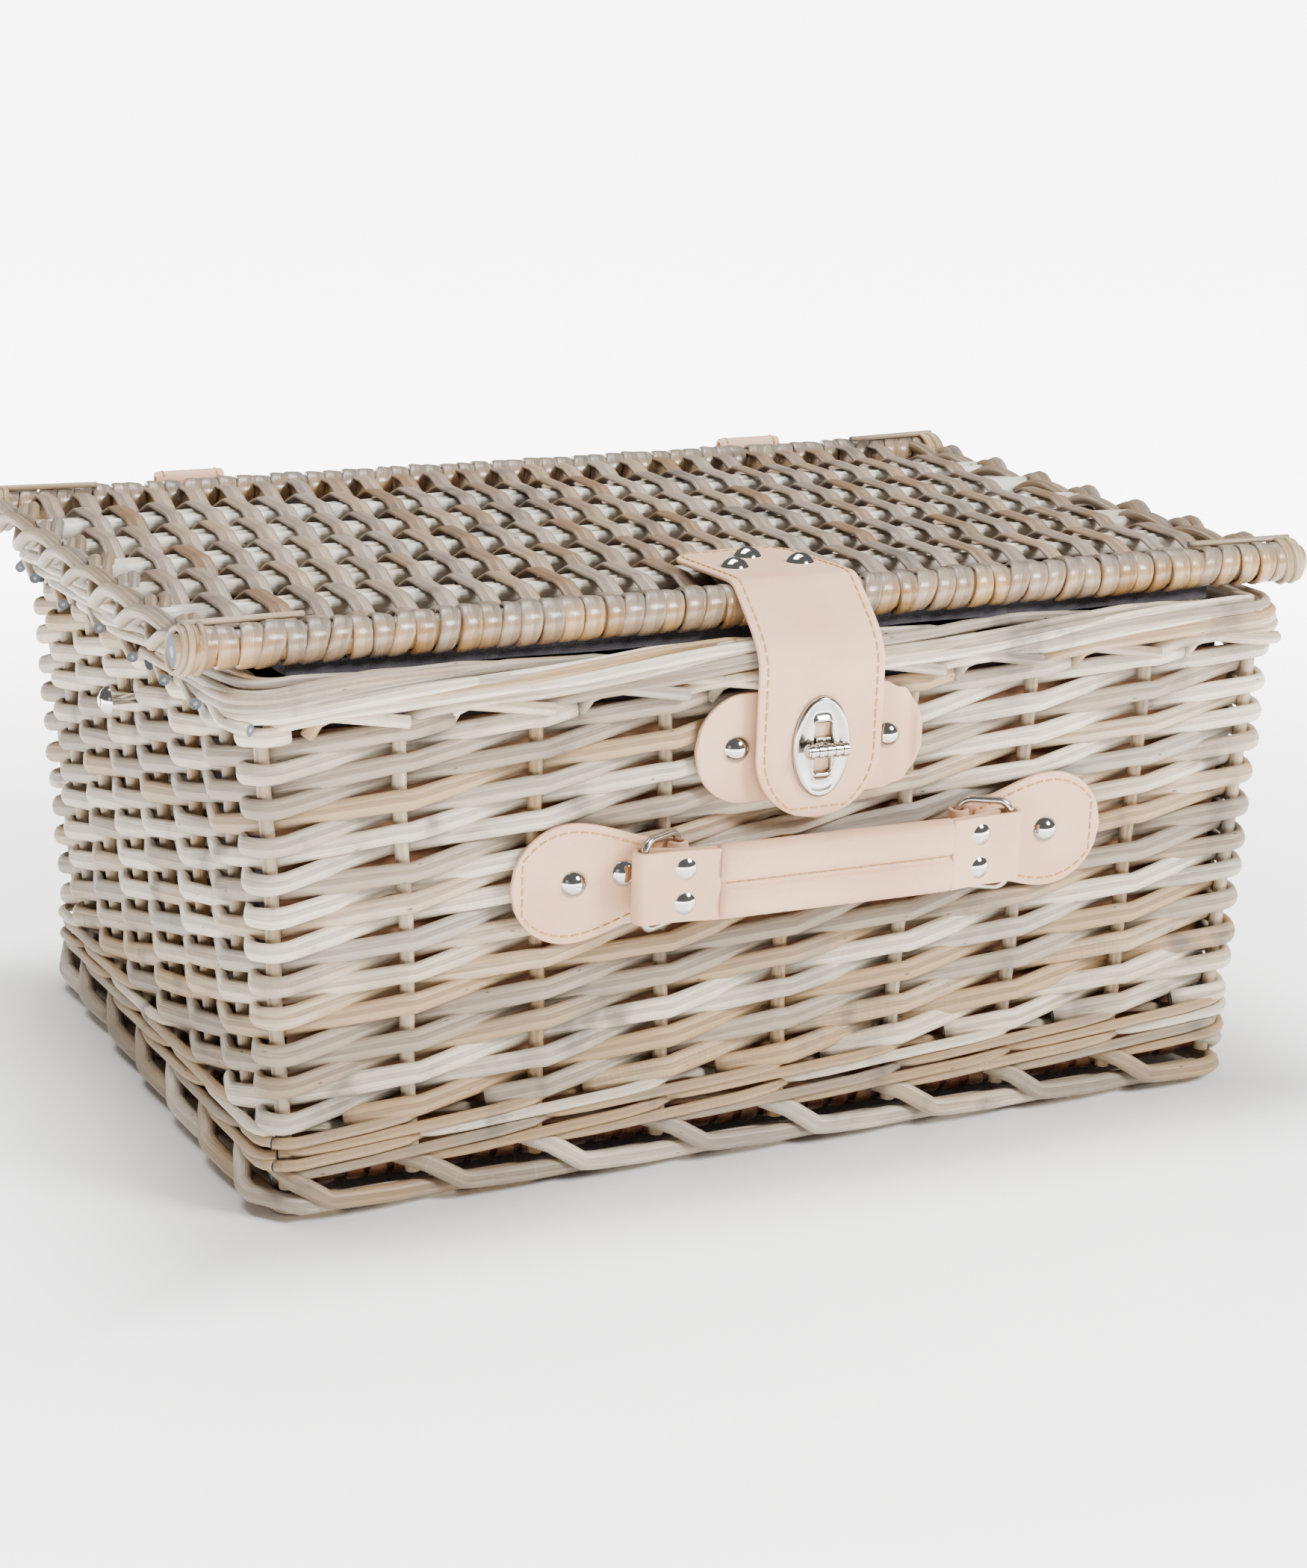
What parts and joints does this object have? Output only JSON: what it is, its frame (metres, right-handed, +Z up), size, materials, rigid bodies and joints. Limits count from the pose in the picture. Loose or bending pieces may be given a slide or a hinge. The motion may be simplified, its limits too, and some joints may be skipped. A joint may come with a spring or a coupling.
{
  "type": "wicker picnic hamper",
  "caption": "Rectangular woven willow hamper with a framed hinged lid, leather strap with a turn lock, leather handle on wire rings, and a fabric lining.",
  "frame": {"origin": "centre of the underside of the whole hamper's bounding box, on the surface it stands on", "axes": "+X to the right along the long front wall, +Y from the front to the back, +Z up"},
  "size_m": [0.476, 0.3656, 0.2324],
  "materials": {
    "body_willow": "split and round willow, washed grey-white, matt with fine grain",
    "lid_willow": "silver-white rods and brown-grey skeins, satin",
    "glossy_skein": "honey brown skein wrap, lacquered",
    "lining_fabric": "charcoal plain-weave cloth",
    "liner_board": "brown fibre board, matt",
    "leather": "natural pink-beige leather, fine grain, tan stitching",
    "nickel_studs": "polished nickel domes",
    "nickel_lock": "polished nickel with light wear",
    "steel_wire": "nickel-plated steel wire",
    "handle_cord": "twisted cord filling"
  },
  "bodies": {
    "basket": {"base_sticks": "body_willow", "base_weave": "body_willow", "foot_border": "body_willow", "front_stakes": "body_willow", "rear_stakes": "body_willow", "left_stakes": "body_willow", "right_stakes": "body_willow", "front_weave": "body_willow", "rear_weave": "body_willow", "left_weave": "body_willow", "right_weave": "body_willow", "wale_row_1": "body_willow", "wale_row_2": "body_willow", "rim_border": "body_willow", "lining": "lining_fabric", "liner_board_front": "liner_board", "liner_board_rear": "liner_board", "lock_patch": "leather", "lock_patch_studs": "nickel_studs", "lock_base": "nickel_lock", "handle_tab_left": "leather", "handle_tab_right": "leather", "handle_tab_studs": "nickel_studs", "hinge_band_lower_left": "leather", "hinge_band_lower_right": "leather", "hinge_band_studs": "nickel_studs", "side_stud_left": "nickel_studs", "side_stud_right": "nickel_studs"},
    "lid": {"lid_front_stick": "lid_willow", "lid_front_wrap": "glossy_skein", "lid_back_stick": "lid_willow", "lid_back_wrap": "glossy_skein", "lid_corner_bindings": "lid_willow", "lid_cross_sticks": "lid_willow", "lid_weave": "lid_willow", "lid_left_braid": "lid_willow", "lid_right_braid": "lid_willow", "lid_lining": "lining_fabric", "strap_tab": "leather", "strap_tab_studs": "nickel_studs", "hinge_band_upper_left": "leather", "hinge_band_upper_right": "leather"},
    "strap": {"strap_flap": "leather", "lock_plate": "nickel_lock", "lock_washer": "nickel_lock"},
    "knob": {"turn_knob": "nickel_lock"},
    "ring_left": {"handle_ring_left": "steel_wire"},
    "ring_right": {"handle_ring_right": "steel_wire"},
    "handle": {"handle_grip": "leather", "handle_cores": "handle_cord"},
    "end_left": {"handle_end_left": "leather", "handle_rivets_left": "nickel_studs"},
    "end_right": {"handle_end_right": "leather", "handle_rivets_right": "nickel_studs"}
  },
  "joints": [
    {"name": "lid_hinge", "type": "hinge", "parent": "basket", "child": "lid", "pos_m": [0, 0.18173, 0.2102], "axis": [-1, 0, 0], "range_deg": [0, 100]},
    {"name": "strap_hinge", "type": "hinge", "parent": "lid", "child": "strap", "pos_m": [0.005, -0.14992, 0.22051], "axis": [-1, 0, 0], "range_deg": [0, 100]},
    {"name": "knob_turn", "type": "hinge", "parent": "basket", "child": "knob", "pos_m": [0.005, -0.17445, 0.16737], "axis": [0, -0.999, -0.0441], "range_deg": [0, 90]},
    {"name": "handle_lift", "type": "slide", "parent": "basket", "child": "handle", "axis": [0, -0.999, -0.0441], "range_m": [0, 0.012]},
    {"name": "ring_left_swing", "type": "hinge", "parent": "basket", "child": "ring_left", "pos_m": [-0.051, -0.16243, 0.12182], "axis": [0, -0.0441, 0.999], "range_deg": [0, 13.3]},
    {"name": "ring_right_swing", "type": "hinge", "parent": "basket", "child": "ring_right", "pos_m": [0.069, -0.16243, 0.12182], "axis": [0, 0.0441, -0.999], "range_deg": [0, 13.3]},
    {"name": "end_left_swing", "type": "hinge", "parent": "handle", "child": "end_left", "pos_m": [-0.043, -0.17601, 0.12122], "axis": [0, 0.0441, -0.999], "range_deg": [0, 19]},
    {"name": "end_right_swing", "type": "hinge", "parent": "handle", "child": "end_right", "pos_m": [0.061, -0.17601, 0.12122], "axis": [0, -0.0441, 0.999], "range_deg": [0, 19]}
  ],
  "couplings": [
    {"joint": "ring_left_swing", "follows": "handle_lift", "rad_per_m": 19.172},
    {"joint": "ring_right_swing", "follows": "handle_lift", "rad_per_m": 19.172},
    {"joint": "end_left_swing", "follows": "handle_lift", "rad_per_m": 27.442},
    {"joint": "end_right_swing", "follows": "handle_lift", "rad_per_m": 27.442}
  ]
}
